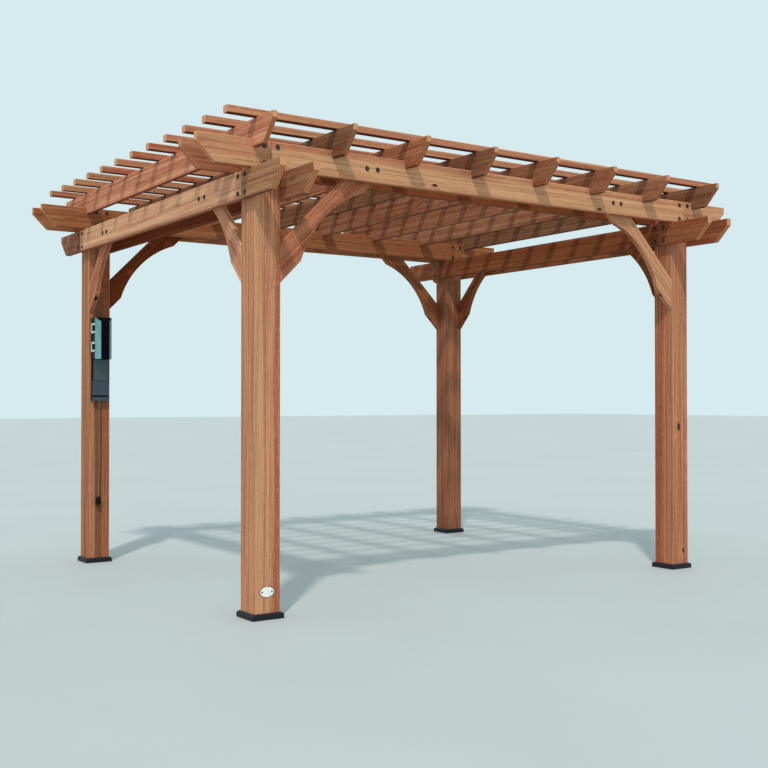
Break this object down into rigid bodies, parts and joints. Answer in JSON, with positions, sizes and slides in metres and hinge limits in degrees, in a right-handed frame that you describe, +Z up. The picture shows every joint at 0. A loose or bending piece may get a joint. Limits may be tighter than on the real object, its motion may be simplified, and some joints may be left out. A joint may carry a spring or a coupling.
{
  "type": "pergola",
  "caption": "Free-standing timber pergola: posts, doubled beams with curved knee braces, notched rafters and roof slats, with a power box and cord on one post.",
  "frame": {"origin": "on the ground, at the middle of the four posts, which is the middle of the overall base rectangle", "axes": "+X to the right along the long front side, +Y to the back, +Z up; the front is at -Y"},
  "size_m": [3.66, 3.05, 2.401],
  "materials": {
    "post_wood": "planed cedar, oiled",
    "beam_wood": "planed cedar, oiled",
    "tail_wood": "planed cedar, oiled",
    "brace_wood": "planed cedar, oiled",
    "rafter_wood": "planed cedar, oiled",
    "slat_wood": "planed cedar, oiled",
    "skirt_plastic": "matt",
    "bolt_steel": "dark coated",
    "housing_plastic": "satin",
    "cover_plastic": "gloss",
    "panel_plastic": "satin",
    "outlet_plastic": "satin",
    "cord_rubber": "satin",
    "plug_plastic": "satin"
  },
  "bodies": {
    "root": {"back_cross_beam_inner": "beam_wood", "back_cross_beam_outer": "beam_wood", "back_cross_beam_tails": "tail_wood", "back_left_cross_brace": "brace_wood", "back_left_foot_skirt": "skirt_plastic", "back_left_post": "post_wood", "back_left_side_brace": "brace_wood", "back_right_cross_brace": "brace_wood", "back_right_foot_skirt": "skirt_plastic", "back_right_post": "post_wood", "back_right_side_brace": "brace_wood", "back_roof_slats": "slat_wood", "beam_bolts": "bolt_steel", "brace_bolts": "bolt_steel", "brace_screws": "bolt_steel", "cord_gland": "cord_rubber", "front_cross_beam_inner": "beam_wood", "front_cross_beam_outer": "beam_wood", "front_cross_beam_tails": "tail_wood", "front_left_cross_brace": "brace_wood", "front_left_foot_skirt": "skirt_plastic", "front_left_post": "post_wood", "front_left_side_brace": "brace_wood", "front_right_cross_brace": "brace_wood", "front_right_foot_skirt": "skirt_plastic", "front_right_post": "post_wood", "front_right_side_brace": "brace_wood", "front_roof_slats": "slat_wood", "left_side_beam_inner": "beam_wood", "left_side_beam_outer": "beam_wood", "left_side_beam_tails": "tail_wood", "middle_roof_slats": "slat_wood", "power_box_bezel": "housing_plastic", "power_box_body": "housing_plastic", "power_box_cover": "cover_plastic", "power_box_panel": "panel_plastic", "power_cord": "cord_rubber", "power_outlets": "outlet_plastic", "power_plug": "plug_plastic", "rafter_1": "rafter_wood", "rafter_2": "rafter_wood", "rafter_3": "rafter_wood", "rafter_4": "rafter_wood", "rafter_5": "rafter_wood", "rafter_6": "rafter_wood", "rafter_7": "rafter_wood", "rafter_8": "rafter_wood", "right_side_beam_inner": "beam_wood", "right_side_beam_outer": "beam_wood", "right_side_beam_tails": "tail_wood"}
  },
  "joints": []
}
